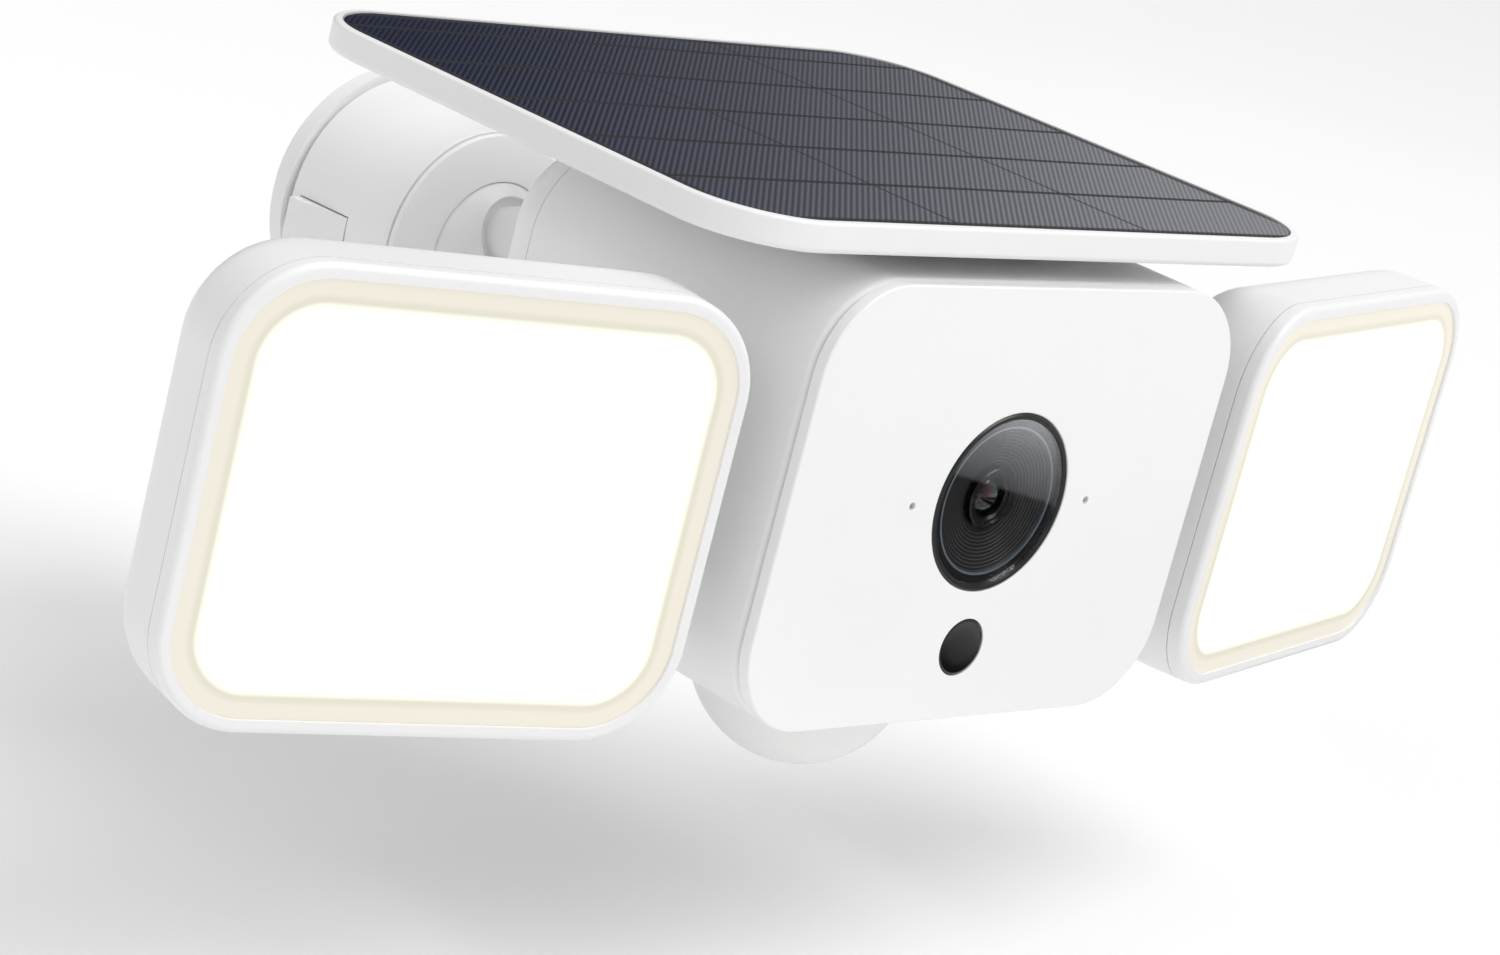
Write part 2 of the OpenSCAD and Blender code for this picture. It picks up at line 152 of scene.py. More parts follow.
def sinkFace(piece, axis, level, rims):
    # insets and pushes the face at a level again and again: rims holds (inset, push) pairs
    k = "XYZ".index(axis)
    for inset, push in rims:
        here = level
        editMesh(piece, faces=lambda f: abs(f.normal[k]) > 0.99 and len(f.verts) > 12
                 and abs(f.calc_center_median()[k] - here) < 2e-5)
        if inset:
            bpy.ops.mesh.inset(thickness=inset, use_even_offset=True)
        if push:
            move = [0, 0, 0]
            move[k] = push
            bpy.ops.mesh.extrude_region_move(TRANSFORM_OT_translate={"value": move})
            level += push
        leaveEdit(piece)


def turnPiece(name, rings, centre, direction=(0, -1, 0), steps=64, closed=True):
    # rings are (radius, distance along direction); each one is extruded from the last
    bpy.ops.mesh.primitive_circle_add(vertices=steps, radius=rings[0][0], location=(0, 0, rings[0][1]))
    piece = startMesh(name)
    applyPlace(piece)
    editMesh(piece, verts=lambda v: True)
    radius, height = rings[0]
    for nextRadius, nextHeight in rings[1:]:
        bpy.ops.mesh.extrude_region_move(TRANSFORM_OT_translate={"value": (0, 0, nextHeight - height)})
        ratio = nextRadius / radius
        bpy.ops.transform.resize(value=(ratio, ratio, 1), center_override=(0, 0, nextHeight))
        radius, height = nextRadius, nextHeight
    leaveEdit(piece)
    if closed:
        editMesh(piece, edges=lambda e: e.is_boundary)
        bpy.ops.mesh.edge_face_add()
        leaveEdit(piece)
    piece.rotation_euler = Vector((0, 0, 1)).rotation_difference(Vector(direction)).to_euler()
    piece.location = centre
    applyPlace(piece)
    editMesh(piece, faces=lambda f: True)
    bpy.ops.mesh.normals_make_consistent(inside=False)
    leaveEdit(piece)
    return piece


def closeLoop(rings):
    # a turned profile that comes back to its first ring
    return rings + [rings[0]]


def mergeSame(piece, distance=1e-6):
    editMesh(piece, verts=lambda v: True)
    bpy.ops.mesh.remove_doubles(threshold=distance)
    bpy.ops.mesh.normals_make_consistent(inside=False)
    leaveEdit(piece)


def turnedShell(name, rings, centre, direction=(0, -1, 0), steps=64):
    piece = turnPiece(name, closeLoop(rings), centre, direction, steps, closed=False)
    mergeSame(piece)
    return piece


def cutWith(piece, cutter):
    useModifier(piece, "BOOLEAN", operation="DIFFERENCE", object=cutter, solver="EXACT")
    bpy.data.objects.remove(cutter)


def arcRings(radius, centreHeight, start, end, steps):
    # rings of a ball's side, from start to end degrees above its equator; none shrinks to a point
    thinnest = 0.004
    found = []
    for i in range(steps + 1):
        a = math.radians(start + (end - start) * i / steps)
        found.append((radius * max(math.cos(a), thinnest), centreHeight + radius * math.sin(a)))
    return found


def inMm(rings):
    return [(radius * mm, height * mm) for radius, height in rings]


def place(piece, matrix):
    # a mirroring matrix turns the faces inside out, so they are turned back
    piece.data.transform(matrix)
    if matrix.determinant() < 0:
        piece.data.flip_normals()


def copyPiece(piece, name):
    twin = piece.copy()
    twin.data = piece.data.copy()
    twin.name = name
    twin.data.name = name
    bpy.context.scene.collection.objects.link(twin)
    return twin


def cutBlock(piece, size, centre):
    bpy.ops.mesh.primitive_cube_add(size=1, location=centre)
    cutter = startMesh("blockCutter")
    cutter.scale = size
    cutWith(piece, cutter)


def cutHole(piece, radius, depth, centre, count):
    # a round hole along Y
    bpy.ops.mesh.primitive_cylinder_add(vertices=count, radius=radius, depth=depth, location=centre,
                                        rotation=(math.pi / 2, 0, 0))
    cutWith(piece, startMesh("holeCutter"))


def settle(piece, body, material, hides=()):
    piece.data.materials.clear()
    piece.data.materials.append(material)
    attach(piece, body)
    if hides:
        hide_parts(*hides)


class Flow:
    # one value on its way through the nodes

    def __init__(self, paint, socket):
        self.paint = paint
        self.socket = socket

    def step(self, operation, *others):
        return self.paint.node("ShaderNodeMath", {"operation": operation}, self, *others)

    def __add__(self, other):
        return self.step("ADD", other)

    def __radd__(self, other):
        return self.step("ADD", other)

    def __mul__(self, other):
        return self.step("MULTIPLY", other)

    def __rmul__(self, other):
        return self.step("MULTIPLY", other)

    def __sub__(self, other):
        return self.step("SUBTRACT", other)

    def __rsub__(self, other):
        return self.paint.node("ShaderNodeMath", {"operation": "SUBTRACT"}, other, self)

    def __truediv__(self, other):
        return self.step("DIVIDE", other)

    def over(self, edge, soft):
        # 0 below edge, 1 past edge + soft
        return self.step("SUBTRACT", edge).step("DIVIDE", soft).clamped()

    def clamped(self):
        return self.step("MAXIMUM", 0.0).step("MINIMUM", 1.0)


class Paint:
    # a material and its principled shader

    def __init__(self, name, color, roughness, **fixed):
        self.material = bpy.data.materials.new(name)
        self.material.use_nodes = True
        self.tree = self.material.node_tree
        self.shader = self.tree.nodes["Principled BSDF"]
        self.shader.inputs["Base Color"].default_value = (*color, 1)
        self.shader.inputs["Roughness"].default_value = roughness
        for key, value in fixed.items():
            self.shader.inputs[key.replace("_", " ")].default_value = value

    def node(self, kind, settings, *values, out=0, **named):
        made = self.tree.nodes.new(kind)
        for key, value in settings.items():
            if key == "stops":
                ramp = made.color_ramp
                for i, (at, color) in enumerate(value):
                    stop = ramp.elements[i] if i < len(ramp.elements) else ramp.elements.new(at)
                    stop.position = at
                    stop.color = (*color, 1)
            else:
                setattr(made, key, value)
        pairs = [(made.inputs[i], v) for i, v in enumerate(values) if v is not None]
        pairs += [(made.inputs[key], v) for key, v in named.items()]
        for socket, value in pairs:
            if isinstance(value, Flow):
                self.tree.links.new(value.socket, socket)
            elif socket.type == "RGBA":
                socket.default_value = (*value, 1)
            else:
                socket.default_value = value
        flows = [Flow(self, output) for output in made.outputs]
        return flows if out == "all" else flows[out]

    def coords(self, place=None, turn=0.0):
        # object coordinates; with a place, that is their origin and they turn with a piece turned about Z
        base = self.node("ShaderNodeTexCoord", {}, out=3)
        if place is None:
            return base
        return self.node("ShaderNodeMapping", {"vector_type": "TEXTURE"}, base,
                         Location=place, Rotation=(0, 0, turn))

    def split(self, vector):
        return self.node("ShaderNodeSeparateXYZ", {}, vector, out="all")

    def noise(self, vector, scale, detail=2.0):
        return self.node("ShaderNodeTexNoise", {}, vector, Scale=scale, Detail=detail)

    def mix(self, factor, first, second):
        # the colour sockets of this node come after those for numbers and vectors
        return self.node("ShaderNodeMix", {"data_type": "RGBA"}, factor, *[None] * 5, first, second, out=2)

    def feed(self, name, flow):
        self.tree.links.new(flow.socket, self.shader.inputs[name])

    def bump(self, height, strength, distance):
        made = self.node("ShaderNodeBump", {}, Strength=strength, Distance=distance, Height=height)
        self.feed("Normal", made)


finish = {
    "shellColor": (0.86, 0.86, 0.86),
    "shellRoughness": 0.36,
    "faceColor": (0.9, 0.9, 0.9),
    "faceRoughness": 0.3,
    "domeColor": (0.88, 0.88, 0.875),
    "domeRoughness": 0.33,
    "darkColor": (0.012, 0.012, 0.014),
    "greyColor": (0.42, 0.43, 0.44),
    "glossColor": (0.006, 0.006, 0.007),
    "cloudScale": 38,
    "cloudShade": 0.975,
    "cloudGloss": 0.08,
    "grainScale": 2600,
    "grainStrength": 0.35,
    "streakScale": 900,
    "streakGloss": 0.16,
    "streakHeight": 0.03 * mm,
    "trackScale": 420,
}


def mouldedPlastic(name, color, roughness, grain=0.02 * mm, coat=0.0):
    # spark-eroded mould texture with faint mottling of colour and gloss
    paint = Paint(name, color, roughness, IOR=1.48, Coat_Weight=coat, Coat_Roughness=0.2)
    where = paint.coords()
    cloud = paint.noise(where, finish["cloudScale"], 3)
    fine = paint.noise(where, finish["grainScale"], 2)
    darker = [c * finish["cloudShade"] for c in color]
    paint.feed("Base Color", paint.mix(cloud, darker, color))
    paint.feed("Roughness", roughness - finish["cloudGloss"] / 2 + cloud * finish["cloudGloss"])
    paint.bump(fine, finish["grainStrength"], grain)
    return paint.material


def turnedMetal(name, color, roughness):
    paint = Paint(name, color, roughness, Metallic=1.0)
    streak = paint.noise(paint.coords(), finish["streakScale"], 2)
    paint.feed("Roughness", roughness - finish["streakGloss"] / 2 + streak * finish["streakGloss"])
    paint.bump(streak, 0.3, finish["streakHeight"])
    return paint.material


def boardMaterial(name, color):
    # solder mask with paler tracks
    paint = Paint(name, color, 0.35)
    x, y, z = paint.split(paint.coords())
    across = (x * finish["trackScale"]).step("SINE").over(0.75, 0.1)
    along = (z * finish["trackScale"]).step("SINE").over(0.8, 0.1)
    tracks = across.step("MAXIMUM", along)
    paint.feed("Base Color", paint.mix(tracks, color, [c * 1.6 + 0.02 for c in color]))
    return paint.material


shellWhite = mouldedPlastic("shellWhite", finish["shellColor"], finish["shellRoughness"])
faceWhite = mouldedPlastic("faceWhite", finish["faceColor"], finish["faceRoughness"], grain=0.008 * mm)
domeWhite = mouldedPlastic("domeWhite", finish["domeColor"], finish["domeRoughness"], grain=0.006 * mm,
                           coat=0.2)
greyPlastic = mouldedPlastic("greyPlastic", finish["greyColor"], 0.5)
blackPlastic = mouldedPlastic("blackPlastic", finish["darkColor"], 0.5)
sealRubber = mouldedPlastic("sealRubber", (0.06, 0.06, 0.065), 0.7)
flapRubber = mouldedPlastic("flapRubber", (0.62, 0.62, 0.61), 0.6)
reflectorWhite = mouldedPlastic("reflectorWhite", (0.88, 0.88, 0.86), 0.25)
cellSleeve = mouldedPlastic("cellSleeve", (0.05, 0.16, 0.4), 0.25)
steelMetal = turnedMetal("steelMetal", (0.6, 0.61, 0.63), 0.32)
sinkMetal = turnedMetal("sinkMetal", (0.72, 0.73, 0.75), 0.45)
castMetal = mouldedPlastic("castMetal", (0.8, 0.8, 0.8), 0.34, grain=0.04 * mm)
copperTrace = turnedMetal("copperTrace", (0.75, 0.45, 0.25), 0.35)
greenBoard = boardMaterial("greenBoard", (0.02, 0.11, 0.05))
whiteBoard = boardMaterial("whiteBoard", (0.8, 0.8, 0.76))


def glossBlack(name, roughness):
    paint = Paint(name, finish["glossColor"], roughness, IOR=1.5)
    cloud = paint.noise(paint.coords(), 60, 2)
    paint.feed("Roughness", roughness + cloud * 0.03)
    return paint.material


view = {
    "eye": (-0.5550, -0.6403, 0.1901),
    "heading": 46.98,
    "dip": 15.35,
    "roll": 14.41,
    "lens": 93.79,
    "shiftX": 0.0181,
    "shiftY": -0.0070,
}


def setCamera():
    camera = bpy.data.cameras.new("viewCamera")
    camera.lens = view["lens"]
    camera.sensor_width = 36
    camera.sensor_fit = "HORIZONTAL"
    camera.shift_x = view["shiftX"]
    camera.shift_y = view["shiftY"]
    camera.clip_start = 0.01
    camera.clip_end = 60
    holder = bpy.data.objects.new("viewCamera", camera)
    bpy.context.scene.collection.objects.link(holder)
    heading, dip = math.radians(view["heading"]), math.radians(view["dip"])
    look = Vector((math.sin(heading) * math.cos(dip), math.cos(heading) * math.cos(dip), -math.sin(dip)))
    turn = look.to_track_quat("-Z", "Y") @ Quaternion((0, 0, 1), math.radians(view["roll"]))
    holder.rotation_mode = "QUATERNION"
    holder.rotation_quaternion = turn
    holder.location = view["eye"]
    bpy.context.scene.camera = holder


studio = {
    "floorDrop": 0.04,
    "floorSize": 14.0,
    "worldStrength": 0.48,
    "keyPower": 1.68,
    "keySpread": 42,
    "keyFrom": (0.3, -0.5, 0.81),
    "fillPower": 3.6,
    "fillSize": 1.2,
    "fillPlace": (-1.5, -0.5, 1.1),
    "topPower": 5.4,
    "topSize": 1.6,
    "topPlace": (0.1, 0.05, 1.5),
    "floorColor": (0.93, 0.93, 0.93),
    "middle": (0, -0.12, 0),
    "cardPlace": (0.322, -0.4505),
    "cardSize": (0.5, 0.6),
    "cardTurn": -31.8,
    "cardLift": 0.004,
    "cardBright": 1.3,
    "cardStops": ((0.0, 0.6), (0.05, 0.0), (0.14, 0.0), (0.22, 0.9), (0.27, 0.0), (0.498, 0.0),
                  (0.502, 0.12), (0.6, 0.35), (0.74, 1.0)),
    "backPlace": (0.95, 0.75),
    "backSize": (1.6, 0.9),
    "backTurn": -43.0,
    "backLift": 0.3,
    "backBright": 0.95,
    "backStops": ((0.0, 0.0), (0.38, 0.01), (0.5, 0.24), (0.64, 0.8)),
}


def addLight(name, kind, power, place, target):
    light = bpy.data.lights.new(name, kind)
    light.energy = power
    holder = bpy.data.objects.new(name, light)
    bpy.context.scene.collection.objects.link(holder)
    holder.location = place
    holder.rotation_euler = (Vector(target) - Vector(place)).to_track_quat("-Z", "Y").to_euler()
    return light


def addCard(name, upright, place, bright, stops, size, turn):
    # a card that only shows in reflections, graded along its width
    wide, tall = size
    bpy.ops.mesh.primitive_grid_add(x_subdivisions=2, y_subdivisions=2, size=1)
    card = startMesh(name)
    card.scale = (wide, tall, 1)
    card.rotation_euler = (math.pi / 2 if upright else 0, 0, 0)
    applyPlace(card)
    card.rotation_euler = (0, 0, math.radians(turn))
    card.location = place
    paint = Paint(name + "Grey", (0, 0, 0), 1.0, Emission_Strength=bright, Specular_IOR_Level=0.0)
    across = paint.split(paint.coords())[0]
    greys = [(at, (grey, grey, grey)) for at, grey in stops]
    paint.feed("Emission Color", paint.node("ShaderNodeValToRGB", {"stops": greys}, across / wide + 0.5))
    card.data.materials.append(paint.material)
    card.visible_camera = False
    card.visible_diffuse = False
    card.visible_shadow = False
    card.visible_transmission = False


def addCards(low):
    # one low at the right for the eye's glass, one upright behind for the panel
    addCard("eyeCard", False, (*studio["cardPlace"], low + studio["cardLift"]), studio["cardBright"],
            studio["cardStops"], studio["cardSize"], studio["cardTurn"])
    lift = studio["backSize"][1] * studio["backLift"]
    addCard("gradedCard", True, (*studio["backPlace"], lift), studio["backBright"],
            studio["backStops"], studio["backSize"], studio["backTurn"])


def setStudio():
    world = bpy.data.worlds.new("softRoom")
    bpy.context.scene.world = world
    world.use_nodes = True
    background = world.node_tree.nodes["Background"]
    background.inputs["Color"].default_value = (1, 1, 1, 1)
    background.inputs["Strength"].default_value = studio["worldStrength"]
    low = cadBox[0][2] - studio["floorDrop"]
    bpy.ops.mesh.primitive_grid_add(x_subdivisions=8, y_subdivisions=8, size=studio["floorSize"],
                                    location=(0, 0, low))
    floor = startMesh("studioFloor")
    paint = Paint("floorWhite", studio["floorColor"], 0.9)
    cloud = paint.noise(paint.coords(), 1.5, 2)
    paint.feed("Roughness", 0.85 + cloud * 0.1)
    floor.data.materials.append(paint.material)
    middle = Vector(studio["middle"])
    key = addLight("keyLight", "SUN", studio["keyPower"], middle + Vector(studio["keyFrom"]), middle)
    key.angle = math.radians(studio["keySpread"])
    fill = addLight("fillLight", "AREA", studio["fillPower"], studio["fillPlace"], middle)
    fill.shape = "DISK"
    fill.size = studio["fillSize"]
    top = addLight("topLight", "AREA", studio["topPower"], studio["topPlace"], middle)
    top.shape = "DISK"
    top.size = studio["topSize"]
    addCards(low)
    bpy.context.scene.view_settings.view_transform = "Standard"


deselectAll()  # loading leaves the CAD nodes selected
setCamera()
setStudio()
print("camera, floor and light are set")

# places and sizes of the parts that the pieces are built around
coverLow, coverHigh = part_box("front_cover")
windowLow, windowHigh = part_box("lens_window")
smallLow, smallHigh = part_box("sensor_window")
shellLow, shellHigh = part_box("housing_shell")
panelLow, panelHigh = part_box("panel_frame")
glassLow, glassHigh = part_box("solar_laminate")
domeLow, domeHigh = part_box("motion_dome")

bodyW = coverHigh.x - coverLow.x
bodyH = coverHigh.z - coverLow.z
bodyZ = (coverHigh.z + coverLow.z) / 2
frontY = coverLow.y
eyeZ = (windowHigh.z + windowLow.z) / 2
eyeR = (windowHigh.x - windowLow.x) / 2
smallZ = (smallHigh.z + smallLow.z) / 2
smallR = (smallHigh.x - smallLow.x) / 2

bodyShape = {
    "corner": 18 * mm,
    "coverThick": 2.5 * mm,
    "coverSoft": 0.45 * mm,
    "rimSoft": 1.6 * mm,
    "rearSoft": 10 * mm,
    "wall": 2.5 * mm,
    "hollow": 60 * mm,
    "backY": -102 * mm,
    "seamGap": 0.12 * mm,
    "portX": 28 * mm,
    "portZ": -20 * mm,
    "portRecess": (18.4 * mm, 4.4 * mm, 12.9 * mm),
    "portLift": 0.25 * mm,
    "portWell": (12 * mm, 24 * mm, 6 * mm),
    "screwX": 44 * mm,
    "screwZ": 30 * mm,
    "screwR": 3.2 * mm,
    "screwDeep": 10 * mm,
    "micX": 24.7 * mm,
    "micR": 0.8 * mm,
    "eyeGap": 0.1 * mm,
    "smallGap": 0.05 * mm,
    "eyeRimSoft": 0.35 * mm,
}


def onEyeRim(v):
    near = 0.3 * mm
    return abs(v.co.y - frontY) < 1e-6 and math.hypot(v.co.x, v.co.z - eyeZ) < eyeR + near


def makeFaceplate():
    thick = bodyShape["coverThick"]
    plate = roundedBlock("faceplate", (bodyW, thick, bodyH), (0, frontY + thick / 2, bodyZ),
                         bodyShape["corner"], front=bodyShape["coverSoft"], steps=20, rimSteps=6)
    holes = [(0, eyeZ, eyeR + bodyShape["eyeGap"], 96), (0, smallZ, smallR + bodyShape["smallGap"], 64)]
    holes += [(side * bodyShape["micX"], eyeZ, bodyShape["micR"], 24) for side in (-1, 1)]
    for x, z, radius, count in holes:
        cutHole(plate, radius, 4 * thick, (x, frontY, z), count)
    editMesh(plate, edges=lambda e: all(onEyeRim(v) for v in e.verts))
    bpy.ops.mesh.bevel(offset=bodyShape["eyeRimSoft"], segments=3, affect="EDGES")
    leaveEdit(plate)
    smooth(plate, 35)
    settle(plate, "camera", faceWhite, ["front_cover"])


def bodyBlock(name):
    rim, back = shellLow.y, bodyShape["backY"]
    return roundedBlock(name, (bodyW, back - rim, bodyH), (0, (back + rim) / 2, bodyZ), bodyShape["corner"],
                        front=bodyShape["rimSoft"], back=bodyShape["rearSoft"], steps=20, rimSteps=8)


def keepSide(piece, level, front):
    # cuts across at a level of Y, drops one side and closes the cut
    editMesh(piece, faces=lambda f: True)
    bpy.ops.mesh.bisect(plane_co=(0, level, 0), plane_no=(0, 1, 0), clear_inner=not front,
                        clear_outer=front, use_fill=True)
    leaveEdit(piece)


def makeBodyShell():
    shell = bodyBlock("bodyShell")
    lip = bodyShape["wall"] - bodyShape["rimSoft"]
    sinkFace(shell, "Y", shellLow.y, [(lip, 0), (0, bodyShape["hollow"])])
    keepSide(shell, shellHigh.y, front=True)
    rear = bodyBlock("rearShell")
    keepSide(rear, shellHigh.y + bodyShape["seamGap"], front=False)
    # recess for the flap with the socket inside, and the four screw wells
    x, back, z = bodyShape["portX"], bodyShape["backY"], bodyShape["portZ"]
    cutBlock(rear, bodyShape["portRecess"], (x, back, z + bodyShape["portLift"]))
    cutBlock(rear, bodyShape["portWell"], (x, back, z))
    for sx in (-1, 1):
        for sz in (-1, 1):
            well = (sx * bodyShape["screwX"], back, bodyZ + sz * bodyShape["screwZ"])
            cutHole(rear, bodyShape["screwR"], bodyShape["screwDeep"], well, 32)
    return shell, rear


makeFaceplate()
bodyShell, rearShell = makeBodyShell()
smooth(bodyShell, 35)
smooth(rearShell, 35)
settle(bodyShell, "camera", shellWhite, ["housing_shell"])
settle(rearShell, "camera", shellWhite, ["rear_cover"])
print("camera body is made")

eye = {
    "glassR": 16.7 * mm,
    "glassTop": 0.3 * mm,
    "glassUnder": 0.85 * mm,
    "seatDeep": 1.0 * mm,
    "ringDeep": 2.4 * mm,
    "edgeSoft": 0.3 * mm,
    "lineR": 15.0 * mm,
    "lineWide": 0.4 * mm,
    "lineDeep": 1.6 * mm,
    "lineColor": (0.33, 0.4, 0.46),
    "baffleR": 14.5 * mm,
    "baffleDeep": 1.5 * mm,
    "baffleColor": (0.012, 0.012, 0.013),
    "baffleEdgeHighlight": (0.1, 0.1, 0.105),
    "steps": 11,
    "stepDepth": 0.16 * mm,
    "stepSlope": 0.1 * mm,
    "tubeR": 6.1 * mm,
    "collar": 0.7 * mm,
    "mouthDeep": 2.0 * mm,
    "bottomDeep": 11 * mm,
    "lensR": 4.0 * mm,
    "lensCurve": 5.6 * mm,
    "lensColor": (0.004, 0.005, 0.006),
    "roseGlint": (0.3, 0.07, 0.1),
    "greenGlint": (0.03, 0.26, 0.2),
}


def windowGlassMaterial():
    # a clear pane: mostly see-through with a faint mirror
    paint = Paint("windowGlass", (0.95, 0.97, 1.0), 0.02, Metallic=1.0, Alpha=0.18)
    paint.feed("Roughness", 0.015 + paint.noise(paint.coords(), 40) * 0.01)
    return paint.material


def lensCoatMaterial():
    # coated front element with a painted reflection: rose glint painted on one side, green on the other, over
    # the upper part, dark below
    paint = Paint("lensCoat", eye["lensColor"], 0.03, IOR=1.6, Coat_Weight=0.6, Coat_Roughness=0.02)
    x, y, z = paint.split(paint.coords(place=(0, 0, eyeZ)))
    across, up = x / eye["lensR"], z / eye["lensR"]
    away = (across * across + up * up).step("SQRT")
    glintHue = paint.mix((across * 1.6 + 0.5).clamped(), eye["roseGlint"], eye["greenGlint"])
    # painted reflection: the glint colour is painted into the base colour on the upper part of the lens,
    # fading towards its rim
    glint = (up * 1.3 + 0.15).clamped() * (1 - away.over(0.25, 0.5))
    paint.feed("Base Color", paint.mix(glint, eye["lensColor"], glintHue))
    return paint.material


def baffleMaterial():
    # painted highlight: a paler line painted on the edge of every step
    paint = Paint("baffleBlack", eye["baffleColor"], 0.34, IOR=1.45)
    x, y, z = paint.split(paint.coords(place=(0, 0, eyeZ)))
    inside = eye["tubeR"] + eye["collar"]
    away = (x * x + z * z).step("SQRT") - inside
    phase = (away / ((eye["baffleR"] - inside) / eye["steps"])).step("FRACT")
    # painted highlight along each step edge
    line = phase.over(0.62, 0.12) * (1 - phase.over(0.9, 0.08)) * away.over(0, 0.1 * mm)
    paint.feed("Base Color", paint.mix(line, eye["baffleColor"], eye["baffleEdgeHighlight"]))
    return paint.material


def lineMetal():
    paint = Paint("lineMetal", eye["lineColor"], 0.3, Metallic=0.6)
    cloud = paint.noise(paint.coords(), 200, 2)
    paint.feed("Roughness", 0.25 + cloud * 0.1)
    return paint.material


def makeEye():
    front = -frontY  # distances are measured along -Y
    centre = (0, 0, eyeZ)
    glassR, lineR, tube = eye["glassR"], eye["lineR"], eye["tubeR"]
    deep, seat, soft = front - eye["bottomDeep"], front - eye["seatDeep"], eye["edgeSoft"]
    # black glossy ring that carries the glass, with the dark band under the glass
    ringIn, ringBack = lineR + 0.05 * mm, front - eye["ringDeep"]
    ring = turnedShell("eyeRing", [
        (eyeR, ringBack), (eyeR, front - soft), (eyeR - soft, front),
        (glassR + 0.2 * mm, front), (glassR, front - soft), (glassR, seat),
        (ringIn, seat), (ringIn, ringBack)], centre, steps=96)
    smooth(ring, 40)
    settle(ring, "camera", glossBlack("eyeRingBlack", 0.3), ["lens_bezel"])
    # thin bright line inside the ring
    lineIn, lineBack = lineR - eye["lineWide"], front - eye["lineDeep"]
    line = turnedShell("eyeLine", [(lineR, lineBack), (lineR, seat), (lineIn, seat), (lineIn, lineBack)],
                       centre, steps=96)
    settle(line, "camera", lineMetal())
    # stepped baffle
    level = front - eye["baffleDeep"]
    run = (eye["baffleR"] - tube - eye["collar"]) / eye["steps"]
    rings = [(lineR - 0.05 * mm, deep), (lineR - 0.05 * mm, level)]
    for i in range(eye["steps"] + 1):
        radius = eye["baffleR"] - i * run
        rings += [(radius, level), (radius - eye["stepSlope"], level - eye["stepDepth"])]
        level -= eye["stepDepth"]
    rings += [(tube + 0.1 * mm, level), (tube + 0.1 * mm, deep)]
    baffle = turnedShell("eyeBaffle", rings, centre, steps=96)
    smooth(baffle, 25)
    settle(baffle, "camera", baffleMaterial(), ["lens_baffle"])
    # barrel with its own stepped mouth
    mouth = front - eye["mouthDeep"]
    barrel = turnedShell("eyeBarrel", [
        (tube, deep), (tube, mouth - soft), (tube - soft, mouth),
        (tube - 0.9 * mm, mouth), (tube - 1.2 * mm, mouth - 0.5 * mm), (tube - 1.7 * mm, mouth - 0.5 * mm),
        (eye["lensR"], mouth - 1.0 * mm), (eye["lensR"], deep)], centre, steps=64)
    smooth(barrel, 35)
    settle(barrel, "camera", glossBlack("barrelBlack", 0.22), ["lens_barrel"])
    # domed front element, a little narrower than its seat
    curve = eye["lensCurve"]
    cap = math.degrees(math.acos(eye["lensR"] * 0.98 / curve))
    lens = turnPiece("eyeLens", arcRings(curve, mouth - 0.5 * mm - curve, cap, 88, 12), centre, steps=48)
    smooth(lens, 60)
    settle(lens, "camera", lensCoatMaterial(), ["front_lens"])
    # flat cover glass
    paneR = glassR - 0.05 * mm
    glass = turnPiece("eyeGlass", [(paneR, front - eye["glassUnder"]), (paneR, front - eye["glassTop"])],
                      centre, steps=96)
    smooth(glass, 35)
    settle(glass, "camera", windowGlassMaterial(), ["lens_window"])
    # small dark window with a shallow dish
    small = turnPiece("smallWindow", [
        (smallR, front - 1.8 * mm), (smallR, front - 0.35 * mm), (smallR - 0.25 * mm, front - 0.1 * mm),
        (smallR - 0.6 * mm, front - 0.08 * mm), (smallR * 0.5, front - 0.1 * mm),
        (smallR * 0.05, front - 0.1 * mm)], (0, 0, smallZ), steps=64)
    smooth(small, 50)
    settle(small, "camera", glossBlack("smallWindowBlack", 0.05), ["sensor_window"])


makeEye()
print("camera eye is made")

dome = {"steps": 20, "skirt": 2 * mm, "rimGap": 0.05 * mm}


def makeDome():
    radius = (domeHigh.x - domeLow.x) / 2
    middleY = (domeHigh.y + domeLow.y) / 2
    floorZ = domeLow.z + radius + dome["skirt"]
    rings = [(radius, dome["rimGap"]), (radius, dome["skirt"])]
    rings += [(r, dome["skirt"] + h) for r, h in arcRings(radius, 0, 4.5, 89.8, dome["steps"])]
    piece = turnPiece("motionDome", rings, (0, middleY, floorZ), direction=(0, 0, -1), steps=72)
    smooth(piece, 50)
    settle(piece, "camera", domeWhite, ["motion_dome"])


makeDome()
print("motion dome is made")

panel = {
    "corner": 20 * mm,
    "lip": 1.7 * mm,
    "lipDeep": 1.2 * mm,
    "soft": 1.2 * mm,
    "topSoft": 0.72 * mm,
    "paneThick": 1.0 * mm,
    "paneGap": 0.2 * mm,
    "paneSoft": 0.25 * mm,
    "columns": 3,
    "rowPitch": 23.3 * mm,
    "rowStart": 6.7 * mm,
    "lineWide": 1.1 * mm,
    "thinLine": 0.7 * mm,
    "margin": 2.6 * mm,
    "ribPitch": 1.5 * mm,
    "ribHeight": 0.08 * mm,
    "faceColor": (0.02, 0.024, 0.05),
    "seamColor": (0.002, 0.002, 0.004),
    "ribDark": (0.008, 0.01, 0.022),
    "ribPale": (0.036, 0.042, 0.078),
}


